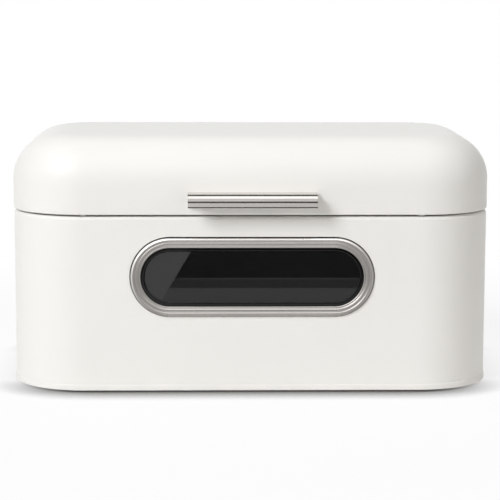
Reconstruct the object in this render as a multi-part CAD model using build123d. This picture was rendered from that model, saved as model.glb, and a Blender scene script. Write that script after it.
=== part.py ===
from build123d import *
from math import asin, cos, degrees, radians, sqrt
import os

# Bread box: a folded steel body with a window, and a lid that swings on two rear hinges.
# Millimetres. +Z is up, the front faces -Y, and the feet stand on the plane of zero height.

# Body and lid sizes
BODY_WIDTH = 420.0
BODY_DEPTH = 225.0
BODY_HEIGHT = 151.8
LID_HEIGHT = 65.7
CORNER_RADIUS = 64.5
LID_TOP_RADIUS = 40.0
SHEET = 0.6
LID_OVERHANG = 0.4
SEAM_GAP = 1.5
RIM_FLANGE = 9.0
RIM_LIP_DROP = 6.0
RIM_ROLL_RADIUS = 2.0
RIM_FOLD_RADIUS = 1.0
HEM_ROLL_RADIUS = 1.2

# Base pan and feet
FOOT_STANDOFF = 1.6
SEAM_RIM_HEIGHT = 5.0
SEAM_RIM_ROUND = 0.45
BASE_PANEL_LIFT = 6.0
PLATEAU_INSET = 28.0
PLATEAU_RISE = 1.5
PRESS_RADIUS = 1.2
FOOT_RADIUS = 8.0
FOOT_TAPER = 1.0
FOOT_INSET = 14.0
FOOT_EDGE_RADIUS = 0.8

# Window
WINDOW_LENGTH = 192.7
WINDOW_HEIGHT = 51.1
WINDOW_DROP = 52.45
WALL_OPENING_MARGIN = 1.0
BEZEL_WIDTH = 9.2
BEZEL_PROUD = 3.2
GASKET_REACH = 3.0
GASKET_THICKNESS = 1.0
GASKET_LIP_RADIUS = 0.4
PANE_MARGIN = 2.6
PANE_THICKNESS = 3.0
RETAINER_SHEET = 0.8
RETAINER_BORDER = 0.5
STUD_RADIUS = 1.25
NUT_FLATS = 5.0
NUT_HEIGHT = 2.0
NUT_CHAMFER = 0.3
NUT_SIDES = 6
STUD_TAIL = 0.6
STUD_CHAMFER = 0.25

# Bezel section, as shares of its width from the opening and of its height off the wall
BEZEL_FOOT_SHARES = (0.91, 0.16)
BEZEL_FLANK_SHARE = 0.30
BEZEL_OUTER_RIDGE_SHARES = (0.74, 1.0)
BEZEL_OUTER_VALLEY_SHARES = (0.53, 0.70)
BEZEL_INNER_RIDGE_SHARES = (0.36, 0.86)
BEZEL_INNER_VALLEY_SHARES = (0.17, 0.52)
BEZEL_BEAD_SHARES = (0.07, 0.60)
BEZEL_INNER_SIDE_SHARE = 0.42

# Studs along the straight sides, as shares of half the straight length
STUD_SIDE_SHARES = (-0.8, 0.0, 0.8)

# Handle
HANDLE_LENGTH = 110.6
HANDLE_DEPTH = 18.0
HANDLE_HEIGHT = 11.7
HANDLE_LIFT = 8.0
HANDLE_TOP_PLATE = 2.4
HANDLE_BACK = 4.0
HANDLE_LIP = 3.6
HANDLE_SETBACK = 2.4
HANDLE_FLUTE = 0.9
HANDLE_LEAN = 0.35
HANDLE_INNER_RADIUS = 1.5
HANDLE_SCREW_INSET = 18.0
HANDLE_END_CHAMFER = 0.25

# Handle front, as shares of its height
UPPER_RIB_TOP_SHARE = 0.87
UPPER_RIB_BOTTOM_SHARE = 0.50
LOWER_RIB_TOP_SHARE = 0.37
LOWER_RIB_BOTTOM_SHARE = 0.10

# Handle screws and washers
SCREW_RADIUS = 2.0
SCREW_HEAD_RADIUS = 3.6
SCREW_HEAD_HEIGHT = 2.4
SCREW_BITE = 3.2
RECESS_LENGTH = 4.0
RECESS_WIDTH = 0.8
RECESS_DEPTH = 1.4
WASHER_RADIUS = 4.5
WASHER_THICKNESS = 0.8

# Hinges
HINGE_SPACING = 200.0
LEAF_WIDTH = 40.0
LEAF_HEIGHT = 18.0
LEAF_SHEET = 1.0
LEAF_CORNER_RADIUS = 3.0
BARREL_RADIUS = 2.6
BARREL_GAP = 0.4
LEAF_GAP = 0.7
JOGGLE_LENGTH = 1.4
LID_KNUCKLE_SHARE = 0.4
KNUCKLE_GAP = 0.3
PIN_RADIUS = 1.5
PIN_CLEARANCE = 0.05
PIN_HEAD_RADIUS = 2.2
PIN_HEAD_HEIGHT = 0.8
HEEL_REACH = 4.6
HEEL_THICKNESS = 1.2
HEEL_GAP = 0.3
LID_OPEN_ANGLE = 100.0

# Rivets
RIVET_RADIUS = 1.6
RIVET_SPACING = 24.0
RIVET_HEAD_RADIUS = 3.0
RIVET_HEAD_HEIGHT = 1.2
RIVET_TAIL_RADIUS = 2.6
RIVET_TAIL_HEIGHT = 0.8

# Straight side of a domed head, as a share of its height
DOME_SIDE_SHARE = 0.3

# Lid buffers
BUFFER_RADIUS = 3.0
BUFFER_STEM_RADIUS = 1.5
BUFFER_BULB_RADIUS = 2.2
BUFFER_BULB_HEIGHT = 1.4
BUFFER_EDGE_RADIUS = 0.4

# Vents in the rear wall
VENT_RADIUS = 2.5
VENT_PITCH = 13.0
VENT_COLUMNS = 8
VENT_ROWS = 2
VENT_DROP = 46.0

# Fits and cuts
SEAT_CLEARANCE = 0.05
HOLE_CLEARANCE = 0.15
WINDOW_CLEARANCE = 0.2
OVERRUN = 5.0

# Right angle, in degrees
QUARTER_TURN = 90.0

# Heights above the floor
RIM_BOTTOM = FOOT_STANDOFF
WALL_FOOT = RIM_BOTTOM + SHEET
PANEL_TOP = RIM_BOTTOM + BASE_PANEL_LIFT
PANEL_UNDERSIDE = PANEL_TOP - SHEET
BODY_TOP = RIM_BOTTOM + BODY_HEIGHT
LID_EDGE = BODY_TOP + SEAM_GAP
LID_TOP = LID_EDGE + LID_HEIGHT
WINDOW_Z = BODY_TOP - WINDOW_DROP
HANDLE_BOTTOM = LID_EDGE + HANDLE_LIFT
SCREW_Z = HANDLE_BOTTOM + HANDLE_HEIGHT / 2
HINGE_Z = (BODY_TOP + LID_EDGE) / 2

# The stop heel on the lid leaf meets the body leaf when the lid is fully open.
HEEL_ARM = HEEL_REACH - HEEL_THICKNESS / 2
LID_FACE = -(BARREL_RADIUS + BARREL_GAP)
BODY_FACE = LID_FACE - LID_OVERHANG
HEEL_LEAN = degrees(asin((-BODY_FACE - LEAF_SHEET - HEEL_GAP - HEEL_THICKNESS / 2) / HEEL_ARM))
HEEL_DROP = QUARTER_TURN + HEEL_LEAN - LID_OPEN_ANGLE
HEEL_BACK = HEEL_ARM * cos(radians(HEEL_DROP)) + HEEL_THICKNESS / 2

# The depth is centred on the whole outline, from the handle to the hinges.
HINGE_REACH = max(HEEL_BACK, BARREL_RADIUS) - LID_FACE
BODY_Y = (HANDLE_DEPTH - HINGE_REACH) / 2
BODY_FRONT = BODY_Y - BODY_DEPTH / 2
BODY_REAR = BODY_Y + BODY_DEPTH / 2
LID_FRONT = BODY_FRONT - LID_OVERHANG
LID_REAR = BODY_REAR + LID_OVERHANG
HINGE_Y = LID_REAR - LID_FACE

# Hinge layout
LID_KNUCKLE = LEAF_WIDTH * LID_KNUCKLE_SHARE
BODY_KNUCKLE = (LEAF_WIDTH - LID_KNUCKLE) / 2 - KNUCKLE_GAP
BODY_KNUCKLE_X = (LEAF_WIDTH - BODY_KNUCKLE) / 2
PLATE_START = BARREL_RADIUS + LEAF_GAP + JOGGLE_LENGTH
RIVET_LINE = PLATE_START + LEAF_HEIGHT / 2
RIVET_HOLE = RIVET_RADIUS + SEAT_CLEARANCE

# Window layout, as distances out from the edge of the bezel's opening
NUT_CORNER = NUT_FLATS / sqrt(3)
RETAINER_STEP = GASKET_REACH + WINDOW_CLEARANCE
STUD_LINE = RETAINER_STEP + RETAINER_SHEET + NUT_CORNER + WINDOW_CLEARANCE
RETAINER_EDGE = STUD_LINE + NUT_CORNER + RETAINER_BORDER
STRAIGHT_HALF = (WINDOW_LENGTH - WINDOW_HEIGHT) / 2
END_RADIUS = WINDOW_HEIGHT / 2

# Window layout, as depths behind the outer face of the front wall
GASKET_BACK = SHEET + GASKET_THICKNESS
PANE_BACK = GASKET_BACK + PANE_THICKNESS
FLANGE_BACK = SHEET + RETAINER_SHEET


def outline(inset):
    """Plan of the body wall, a rounded rectangle drawn in by inset."""
    width = BODY_WIDTH - 2 * inset
    depth = BODY_DEPTH - 2 * inset
    return RectangleRounded(width, depth, CORNER_RADIUS - inset)


def slab(inset, low, high):
    """The plan outline, drawn in by inset, between two heights."""
    return extrude(Pos(0, BODY_Y, low) * outline(inset), amount=high - low)


def top_edges(block):
    return block.edges().group_by(Axis.Z)[-1]


def bottom_edges(block):
    return block.edges().group_by(Axis.Z)[0]


def rolled_ring(ring, outer_radius, inner_radius):
    """A ring with its top edges rounded, outside and round its hole."""
    ring = fillet(ring.faces().sort_by(Axis.Z)[-1].outer_wire().edges(), outer_radius)
    return fillet(ring.faces().sort_by(Axis.Z)[-1].inner_wires()[0].edges(), inner_radius)


def lying(solid, x, y, z):
    """Turns a solid made along +Z to point along +Y, and moves it to its place."""
    return Pos(x, y, z) * Rot(-QUARTER_TURN, 0, 0) * solid


def rod(radius, length):
    """A cylinder along +Z that starts at the origin."""
    return Cylinder(radius, length, align=(Align.CENTER, Align.CENTER, Align.MIN))


def turned(profile):
    """A solid of revolution about Z from the lines of a closed half section."""
    return revolve(Plane.XZ * make_face(profile), Axis.Z)


def stadium(margin, front, back):
    """The window's outline, grown by margin, between two depths behind the wall's outer face."""
    shape = SlotOverall(WINDOW_LENGTH + 2 * margin, WINDOW_HEIGHT + 2 * margin)
    seat = Plane(origin=(0, BODY_FRONT + back, WINDOW_Z), x_dir=(1, 0, 0), z_dir=(0, -1, 0))
    return extrude(seat * shape, amount=back - front)


def stud_places():
    """Centres of the bezel's studs, in X and in height."""
    row = END_RADIUS + STUD_LINE
    places = [(side * (STRAIGHT_HALF + row), WINDOW_Z) for side in (1, -1)]
    for share in STUD_SIDE_SHARES:
        places += [(STRAIGHT_HALF * share, WINDOW_Z + side * row) for side in (1, -1)]
    return places


def buffer_places():
    """Centres of the lid buffers on the body's rim, by name."""
    line = (RIM_FLANGE - SHEET) / 2
    front_x = BODY_WIDTH / 2 - CORNER_RADIUS
    side_x = BODY_WIDTH / 2 - line
    return {
        "front_left": (-front_x, BODY_FRONT + line),
        "front_right": (front_x, BODY_FRONT + line),
        "side_left": (-side_x, BODY_Y),
        "side_right": (side_x, BODY_Y),
    }


def foot_places():
    """Centres of the feet, on the diagonals of the base's round corners, by name."""
    reach = (CORNER_RADIUS - FOOT_INSET) / sqrt(2)
    x = BODY_WIDTH / 2 - CORNER_RADIUS + reach
    y = BODY_DEPTH / 2 - CORNER_RADIUS + reach
    return {
        "front_left": (-x, BODY_Y - y),
        "front_right": (x, BODY_Y - y),
        "rear_left": (-x, BODY_Y + y),
        "rear_right": (x, BODY_Y + y),
    }


def hinge_places():
    return {"left": -HINGE_SPACING / 2, "right": HINGE_SPACING / 2}


def rivet_places(up):
    """Centres of the rivets in X and height, above the hinge line for up of 1, below it for -1."""
    height = HINGE_Z + up * RIVET_LINE
    return [(x + side * RIVET_SPACING / 2, height) for x in hinge_places().values() for side in (-1, 1)]


def make_body_wall():
    """The folded wall with its rolled top rim, window opening, vents and fastener holes."""
    mouth = slab(RIM_FLANGE, WALL_FOOT - OVERRUN, BODY_TOP + OVERRUN)
    outer = rolled_ring(slab(0, WALL_FOOT, BODY_TOP) - mouth, RIM_ROLL_RADIUS, RIM_FOLD_RADIUS)
    lip = slab(RIM_FLANGE - SHEET, WALL_FOOT - OVERRUN, BODY_TOP)
    inner = slab(SHEET, WALL_FOOT - OVERRUN, BODY_TOP - SHEET) - lip
    inner = rolled_ring(inner, RIM_ROLL_RADIUS - SHEET, RIM_FOLD_RADIUS - SHEET)
    below_lip = slab(SHEET, WALL_FOOT - OVERRUN, BODY_TOP - RIM_LIP_DROP)
    wall = outer - inner - below_lip
    cuts = [stadium(WALL_OPENING_MARGIN, -OVERRUN, OVERRUN)]
    for x, z in stud_places():
        cuts.append(lying(rod(STUD_RADIUS + HOLE_CLEARANCE, 2 * OVERRUN), x, BODY_FRONT - OVERRUN, z))
    for x, z in rivet_places(-1):
        cuts.append(lying(rod(RIVET_HOLE, 2 * OVERRUN), x, BODY_REAR - OVERRUN, z))
    for x, y in buffer_places().values():
        cuts.append(Pos(x, y, BODY_TOP - OVERRUN) * rod(BUFFER_STEM_RADIUS + SEAT_CLEARANCE, 2 * OVERRUN))
    for place in GridLocations(VENT_PITCH, VENT_PITCH, VENT_COLUMNS, VENT_ROWS):
        z = BODY_TOP - VENT_DROP + place.position.Y
        cuts.append(lying(rod(VENT_RADIUS, 2 * OVERRUN), place.position.X, BODY_REAR - OVERRUN, z))
    return wall - cuts


def make_base_pan():
    """The pressed base: a channel round the wall's foot, a flat border and a raised middle."""
    outside = -(SHEET + SEAT_CLEARANCE)
    inside = SHEET + SEAT_CLEARANCE
    rim = slab(outside, RIM_BOTTOM, RIM_BOTTOM + SEAM_RIM_HEIGHT)
    rim = fillet(top_edges(rim) + bottom_edges(rim), SEAM_RIM_ROUND)
    channel = slab(-SEAT_CLEARANCE, WALL_FOOT, RIM_BOTTOM + SEAM_RIM_HEIGHT + OVERRUN)
    border = slab(inside, RIM_BOTTOM, PANEL_TOP)
    border = fillet(top_edges(border), PRESS_RADIUS)
    plateau = slab(PLATEAU_INSET, RIM_BOTTOM, PANEL_TOP + PLATEAU_RISE)
    plateau = fillet(top_edges(plateau), PRESS_RADIUS)
    under = slab(inside + SHEET, RIM_BOTTOM - OVERRUN, PANEL_UNDERSIDE)
    under = fillet(top_edges(under), PRESS_RADIUS - SHEET)
    dish = slab(PLATEAU_INSET + SHEET, RIM_BOTTOM - OVERRUN, PANEL_UNDERSIDE + PLATEAU_RISE)
    dish = fillet(top_edges(dish), PRESS_RADIUS - SHEET)
    return rim - channel + border + plateau - under - dish


def make_foot(x, y):
    """A tapered rubber pad stuck under the border of the base pan."""
    seat = (Align.CENTER, Align.CENTER, Align.MIN)
    pad = Cone(FOOT_RADIUS - FOOT_TAPER, FOOT_RADIUS, PANEL_UNDERSIDE, align=seat)
    return Pos(x, y, 0) * fillet(bottom_edges(pad), FOOT_EDGE_RADIUS)


def bezel_section():
    """Half section of the bezel at the middle of its upper side: a flat foot, two ridges and a bead."""
    edge = WINDOW_Z + END_RADIUS

    def point(across, proud):
        return (0, BODY_FRONT - proud * BEZEL_PROUD, edge + across * BEZEL_WIDTH)

    foot_across, foot_height = BEZEL_FOOT_SHARES
    foot_corner = point(foot_across, foot_height)
    flank = point(foot_across, BEZEL_FLANK_SHARE)
    outer_valley = point(*BEZEL_OUTER_VALLEY_SHARES)
    inner_valley = point(*BEZEL_INNER_VALLEY_SHARES)
    inner_top = point(0, BEZEL_INNER_SIDE_SHARE)
    return make_face([
        Polyline(inner_top, point(0, 0), point(1, 0), point(1, foot_height), foot_corner, flank),
        ThreePointArc(flank, point(*BEZEL_OUTER_RIDGE_SHARES), outer_valley),
        ThreePointArc(outer_valley, point(*BEZEL_INNER_RIDGE_SHARES), inner_valley),
        ThreePointArc(inner_valley, point(*BEZEL_BEAD_SHARES), inner_top),
    ])


def window_path():
    """The edge of the bezel's opening, from the middle of its upper side and round."""
    high = WINDOW_Z + END_RADIUS
    low = WINDOW_Z - END_RADIUS
    y = BODY_FRONT
    right = STRAIGHT_HALF + END_RADIUS
    return Wire([
        Line((0, y, high), (STRAIGHT_HALF, y, high)),
        ThreePointArc((STRAIGHT_HALF, y, high), (right, y, WINDOW_Z), (STRAIGHT_HALF, y, low)),
        Line((STRAIGHT_HALF, y, low), (-STRAIGHT_HALF, y, low)),
        ThreePointArc((-STRAIGHT_HALF, y, low), (-right, y, WINDOW_Z), (-STRAIGHT_HALF, y, high)),
        Line((-STRAIGHT_HALF, y, high), (0, y, high)),
    ])


def make_window_bezel():
    """The steel trim ring on the wall, with welded studs that pass through to the inside."""
    ring = sweep(bezel_section(), path=window_path())
    stud_length = FLANGE_BACK + NUT_HEIGHT + STUD_TAIL
    stud = rod(STUD_RADIUS, stud_length)
    stud = chamfer(top_edges(stud), STUD_CHAMFER)
    return ring + [lying(stud, x, BODY_FRONT, z) for x, z in stud_places()]


def make_window_gasket():
    """The black seal between the wall and the pane, seen as a border inside the bezel."""
    strip = stadium(GASKET_REACH, SHEET, GASKET_BACK) - stadium(-GASKET_REACH, SHEET, GASKET_BACK)
    front = strip.faces().sort_by(Axis.Y)[0]
    return fillet(front.inner_wires()[0].edges(), GASKET_LIP_RADIUS)


def make_window_pane():
    return stadium(PANE_MARGIN, GASKET_BACK, PANE_BACK)


def make_window_retainer():
    """The inner frame that presses the pane on its seal: a flange, a step and a back lip."""
    flange = stadium(RETAINER_EDGE, SHEET, FLANGE_BACK)
    step = stadium(RETAINER_STEP + RETAINER_SHEET, SHEET, PANE_BACK + RETAINER_SHEET)
    pocket = stadium(RETAINER_STEP, SHEET, PANE_BACK)
    view = stadium(-GASKET_REACH, SHEET, PANE_BACK + RETAINER_SHEET)
    hole = rod(STUD_RADIUS + HOLE_CLEARANCE, 2 * OVERRUN)
    holes = [lying(hole, x, BODY_FRONT - OVERRUN, z) for x, z in stud_places()]
    return flange + step - pocket - view - holes


def make_window_nuts():
    """Hexagon nuts on the bezel's studs, against the retainer's flange."""
    blank = extrude(RegularPolygon(NUT_FLATS / 2, NUT_SIDES, major_radius=False), amount=NUT_HEIGHT)
    round_bar = rod(NUT_CORNER, NUT_HEIGHT)
    round_bar = chamfer(top_edges(round_bar) + bottom_edges(round_bar), NUT_CHAMFER)
    nut = (blank & round_bar) - rod(STUD_RADIUS + SEAT_CLEARANCE, NUT_HEIGHT)
    return [lying(nut, x, BODY_FRONT + FLANGE_BACK, z) for x, z in stud_places()]


def make_buffer(x, y):
    """A rubber button on the body's rim: the lid rests on its head, and a bulb holds its stem."""
    stem_low = BODY_TOP - SHEET
    head = rod(BUFFER_RADIUS, SEAM_GAP)
    button = Pos(x, y, BODY_TOP) * fillet(top_edges(head), BUFFER_EDGE_RADIUS)
    stem = Pos(x, y, stem_low) * rod(BUFFER_STEM_RADIUS, SHEET)
    bulb = Pos(x, y, stem_low - BUFFER_BULB_HEIGHT) * rod(BUFFER_BULB_RADIUS, BUFFER_BULB_HEIGHT)
    return button + stem + bulb


def make_lid_shell():
    """The drawn lid: round shoulders, flat top and a hem turned in at its lower edge."""
    outer = slab(-LID_OVERHANG, LID_EDGE, LID_TOP)
    outer = fillet(top_edges(outer), LID_TOP_RADIUS)
    outer = fillet(bottom_edges(outer), HEM_ROLL_RADIUS)
    inner = slab(SHEET - LID_OVERHANG, LID_EDGE + SHEET, LID_TOP - SHEET)
    inner = fillet(top_edges(inner), LID_TOP_RADIUS - SHEET)
    inner = fillet(bottom_edges(inner), HEM_ROLL_RADIUS - SHEET)
    shell = outer - inner - slab(RIM_FLANGE, LID_EDGE - OVERRUN, LID_EDGE + OVERRUN)
    cuts = []
    for x, z in rivet_places(1):
        cuts.append(lying(rod(RIVET_HOLE, 2 * OVERRUN), x, LID_REAR - OVERRUN, z))
    for x in screw_places():
        cuts.append(lying(rod(SCREW_RADIUS + HOLE_CLEARANCE, 2 * OVERRUN), x, LID_FRONT - OVERRUN, SCREW_Z))
    return shell - cuts


def rib(back, front, top, bottom):
    """A convex quarter of an ellipse, from the back of a rib's top to the foot of its front."""
    reach = front - back
    return EllipticalCenterArc((back, bottom), reach, top - bottom, start_angle=0, arc_size=QUARTER_TURN)


def handle_section():
    """Section of the handle, out from the lid and up: two ribs in front of a finger channel."""
    depth = HANDLE_DEPTH
    height = HANDLE_HEIGHT
    upper_top = height * UPPER_RIB_TOP_SHARE
    upper_bottom = height * UPPER_RIB_BOTTOM_SHARE
    lower_top = height * LOWER_RIB_TOP_SHARE
    lower_bottom = height * LOWER_RIB_BOTTOM_SHARE
    ceiling = height - HANDLE_TOP_PLATE
    set_back = depth - HANDLE_SETBACK
    flute = depth - HANDLE_FLUTE
    channel_front = depth - HANDLE_LIP
    lean = depth - HANDLE_LEAN
    top = Polyline((0, 0), (0, height), (set_back, height), (set_back, upper_top))
    groove = Polyline((depth, upper_bottom), (flute, upper_bottom), (flute, lower_top), (depth, lower_top))
    lower_rib = Line((depth, lower_top), (lean, lower_bottom))
    foot = Polyline((lean, lower_bottom), (flute, lower_bottom), (flute, 0), (channel_front, 0))
    channel = FilletPolyline(
        (channel_front, 0),
        (channel_front, ceiling),
        (HANDLE_BACK, ceiling),
        (HANDLE_BACK, 0),
        radius=HANDLE_INNER_RADIUS,
    )
    return make_face([
        top,
        rib(set_back, depth, upper_top, upper_bottom),
        groove,
        lower_rib,
        foot,
        channel,
        Line((HANDLE_BACK, 0), (0, 0)),
    ])


def make_handle_bar():
    """The handle, with blind holes in its back for the two screws."""
    seat = Plane(origin=(0, LID_FRONT, HANDLE_BOTTOM), x_dir=(0, -1, 0), z_dir=(-1, 0, 0))
    bar = extrude(seat * handle_section(), amount=HANDLE_LENGTH / 2, both=True)
    top_ends = top_edges(bar).filter_by(Axis.Y)
    bar = chamfer(top_ends, HANDLE_END_CHAMFER)
    hole = rod(SCREW_RADIUS + SEAT_CLEARANCE, SCREW_BITE + OVERRUN)
    holes = [lying(hole, x, LID_FRONT - SCREW_BITE, SCREW_Z) for x in screw_places()]
    return bar - holes


def screw_places():
    reach = HANDLE_LENGTH / 2 - HANDLE_SCREW_INSET
    return (-reach, reach)


def make_handle_washers():
    """Washers between the lid's inner face and the screw heads."""
    washer = rod(WASHER_RADIUS, WASHER_THICKNESS) - rod(SCREW_RADIUS + HOLE_CLEARANCE, WASHER_THICKNESS)
    return [lying(washer, x, LID_FRONT + SHEET, SCREW_Z) for x in screw_places()]


def make_handle_screws():
    """Domed screws driven from inside the lid into the handle's back."""
    grip = SHEET + WASHER_THICKNESS
    length = SCREW_BITE + grip
    screw = headed_pin(SCREW_RADIUS, length, SCREW_HEAD_RADIUS, SCREW_HEAD_HEIGHT)
    tip = Pos(0, 0, length + SCREW_HEAD_HEIGHT)
    screw -= tip * Box(RECESS_LENGTH, RECESS_WIDTH, 2 * RECESS_DEPTH)
    screw -= tip * Box(RECESS_WIDTH, RECESS_LENGTH, 2 * RECESS_DEPTH)
    return [lying(screw, x, LID_FRONT - SCREW_BITE, SCREW_Z) for x in screw_places()]


def headed_pin(radius, length, head_radius, head_height):
    """A shank that starts at the origin along +Z and ends in a domed head."""
    side = length + head_height * DOME_SIDE_SHARE
    top = length + head_height
    rise = top - side
    sphere = (head_radius ** 2 + rise ** 2) / (2 * rise)
    half_angle = degrees(asin(head_radius / sphere))
    return turned([
        Polyline((0, top), (0, 0), (radius, 0), (radius, length), (head_radius, length), (head_radius, side)),
        CenterArc((0, top - sphere), sphere, QUARTER_TURN - half_angle, half_angle),
    ])


def make_rivets(up, wall_face):
    """Rivets through the leaf and the sheet: a domed head outside and a flat tail inside."""
    grip = SHEET + LEAF_SHEET
    tail = rod(RIVET_TAIL_RADIUS, RIVET_TAIL_HEIGHT)
    shank = headed_pin(RIVET_RADIUS, grip, RIVET_HEAD_RADIUS, RIVET_HEAD_HEIGHT)
    rivet = tail + Pos(0, 0, RIVET_TAIL_HEIGHT) * shank
    start = wall_face - SHEET - RIVET_TAIL_HEIGHT
    return [lying(rivet, x, start, z) for x, z in rivet_places(up)]


def bar_along_x(sketch, width, x):
    """A sketch in the YZ plane, made a bar of the given width centred on x."""
    return Pos(x, 0, 0) * extrude(Plane.YZ * sketch, amount=width / 2, both=True)


def neck(up, face):
    """Section of the strip from the barrel to the leaf's plate, which it joins with a small offset."""
    joggle = PLATE_START - JOGGLE_LENGTH
    return make_face(Polyline(
        (-BARREL_RADIUS, 0),
        (-BARREL_RADIUS + LEAF_SHEET, 0),
        (-BARREL_RADIUS + LEAF_SHEET, up * joggle),
        (face + LEAF_SHEET, up * PLATE_START),
        (face, up * PLATE_START),
        (-BARREL_RADIUS, up * joggle),
        close=True,
    ))


def leaf_plate(up, face):
    """The flat of a leaf, from its joggle to its rounded far corners, with the rivet holes."""
    middle = up * RIVET_LINE
    plate = Pos(0, face + LEAF_SHEET / 2, middle) * Box(LEAF_WIDTH, LEAF_SHEET, LEAF_HEIGHT)
    far = plate.edges().filter_by(Axis.Y).group_by(Axis.Z)[-1 if up > 0 else 0]
    plate = fillet(far, LEAF_CORNER_RADIUS)
    hole = rod(RIVET_HOLE, 2 * OVERRUN)
    return plate - [lying(hole, side * RIVET_SPACING / 2, face - OVERRUN, middle) for side in (-1, 1)]


def barrel(width, x):
    return bar_along_x(Circle(BARREL_RADIUS), width, x)


def pin_bore():
    return bar_along_x(Circle(PIN_RADIUS + PIN_CLEARANCE), 2 * LEAF_WIDTH, 0)


def heel():
    """The stop on the lid's knuckle, a rounded finger that points back when the lid is shut."""
    finger = Pos(HEEL_ARM / 2, 0) * SlotCenterToCenter(HEEL_ARM, HEEL_THICKNESS)
    return bar_along_x(Rot(0, 0, -HEEL_DROP) * finger, LID_KNUCKLE, 0)


def place_hinge_piece(piece, x):
    return Pos(x, HINGE_Y, HINGE_Z) * piece


def make_lid_leaf(x):
    """The hinge leaf on the lid: a plate, one middle knuckle and its stop heel."""
    leaf = leaf_plate(1, LID_FACE)
    leaf += bar_along_x(neck(1, LID_FACE), LID_KNUCKLE, 0)
    leaf += barrel(LID_KNUCKLE, 0)
    leaf += heel()
    return place_hinge_piece(leaf - pin_bore(), x)


def make_body_leaf(x):
    """The hinge leaf on the body: a plate and two outer knuckles."""
    leaf = leaf_plate(-1, BODY_FACE)
    for side in (-1, 1):
        leaf += bar_along_x(neck(-1, BODY_FACE), BODY_KNUCKLE, side * BODY_KNUCKLE_X)
        leaf += barrel(BODY_KNUCKLE, side * BODY_KNUCKLE_X)
    return place_hinge_piece(leaf - pin_bore(), x)


def make_hinge_pin(x):
    """The hinge pin, headed at both ends against the outer knuckles."""
    pin = bar_along_x(Circle(PIN_RADIUS), LEAF_WIDTH, 0)
    for side in (-1, 1):
        head_x = side * (LEAF_WIDTH + PIN_HEAD_HEIGHT) / 2
        pin += bar_along_x(Circle(PIN_HEAD_RADIUS), PIN_HEAD_HEIGHT, head_x)
    return place_hinge_piece(pin, x)


def make_pieces():
    """Every piece of the bread box, by name."""
    pieces = {
        "body_wall": make_body_wall(),
        "base_pan": make_base_pan(),
        "window_bezel": make_window_bezel(),
        "window_gasket": make_window_gasket(),
        "window_pane": make_window_pane(),
        "window_retainer": make_window_retainer(),
        "window_nuts": Compound(children=make_window_nuts()),
        "lid_shell": make_lid_shell(),
        "handle_bar": make_handle_bar(),
        "handle_washers": Compound(children=make_handle_washers()),
        "handle_screws": Compound(children=make_handle_screws()),
        "hinge_body_rivets": Compound(children=make_rivets(-1, BODY_REAR)),
        "hinge_lid_rivets": Compound(children=make_rivets(1, LID_REAR)),
    }
    for place, (x, y) in foot_places().items():
        pieces["foot_" + place] = make_foot(x, y)
    for place, (x, y) in buffer_places().items():
        pieces["lid_buffer_" + place] = make_buffer(x, y)
    for side, x in hinge_places().items():
        pieces["hinge_" + side + "_body_leaf"] = make_body_leaf(x)
        pieces["hinge_" + side + "_lid_leaf"] = make_lid_leaf(x)
        pieces["hinge_" + side + "_pin"] = make_hinge_pin(x)
    return pieces


os.makedirs("parts", exist_ok=True)
for name, piece in make_pieces().items():
    piece.label = name
    export_step(piece, "parts/" + name + ".step")
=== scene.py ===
import bmesh
import bpy
import math
from mathutils import Matrix, Vector


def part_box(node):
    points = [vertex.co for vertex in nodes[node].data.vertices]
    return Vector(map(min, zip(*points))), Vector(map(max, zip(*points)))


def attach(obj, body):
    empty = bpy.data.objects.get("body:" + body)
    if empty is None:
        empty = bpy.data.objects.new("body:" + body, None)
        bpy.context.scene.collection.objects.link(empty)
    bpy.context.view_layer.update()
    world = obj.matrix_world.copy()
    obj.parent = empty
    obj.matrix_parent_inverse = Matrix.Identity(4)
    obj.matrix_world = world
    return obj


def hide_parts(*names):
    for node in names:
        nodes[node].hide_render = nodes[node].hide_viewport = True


# The bread box's looks: powder-coated shells, steel trim and a smoked window on the CAD frame.
# Metres. +Z is up and the front faces -Y.

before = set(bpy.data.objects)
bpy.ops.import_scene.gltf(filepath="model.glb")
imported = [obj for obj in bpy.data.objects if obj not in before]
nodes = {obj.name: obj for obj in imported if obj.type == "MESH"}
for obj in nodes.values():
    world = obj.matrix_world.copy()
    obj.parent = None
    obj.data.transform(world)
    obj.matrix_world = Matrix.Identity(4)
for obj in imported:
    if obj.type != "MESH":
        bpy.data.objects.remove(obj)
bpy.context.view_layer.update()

# Sheet metal sizes, as in the part's source apart from a rounder rim roll and a sloped seam
MM = 0.001
SHEET = 0.6 * MM
CORNER_RADIUS = 64.5 * MM
LID_TOP_RADIUS = 40 * MM
RIM_FLANGE = 9 * MM
RIM_LIP_DROP = 6 * MM
RIM_ROLL = 3.2 * MM
RIM_FOLD = 1 * MM
HEM_ROLL = 1.2 * MM
SEAM_HEIGHT = 5 * MM
SEAM_ROUND = 0.45 * MM
SEAM_SLOPE = 1.3 * MM
SEAT_GAP = 0.05 * MM
PANEL_LIFT = 6 * MM
PLATEAU_INSET = 28 * MM
PLATEAU_RISE = 1.5 * MM
PRESS_ROUND = 1.2 * MM

# Angles in degrees: directions in a section, and how far the rounds at the pan's plateau turn
QUARTER = 90
FULL_TURN = 4 * QUARTER
AHEAD, UP, BACK, DOWN = 0, QUARTER, 2 * QUARTER, 3 * QUARTER
PRESS_TURN = 55

# The same quarter in radians, and the turn that stands a flat shape up to face the front
RIGHT_ANGLE = math.pi / 2
STANDING = (RIGHT_ANGLE, 0, 0)

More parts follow.
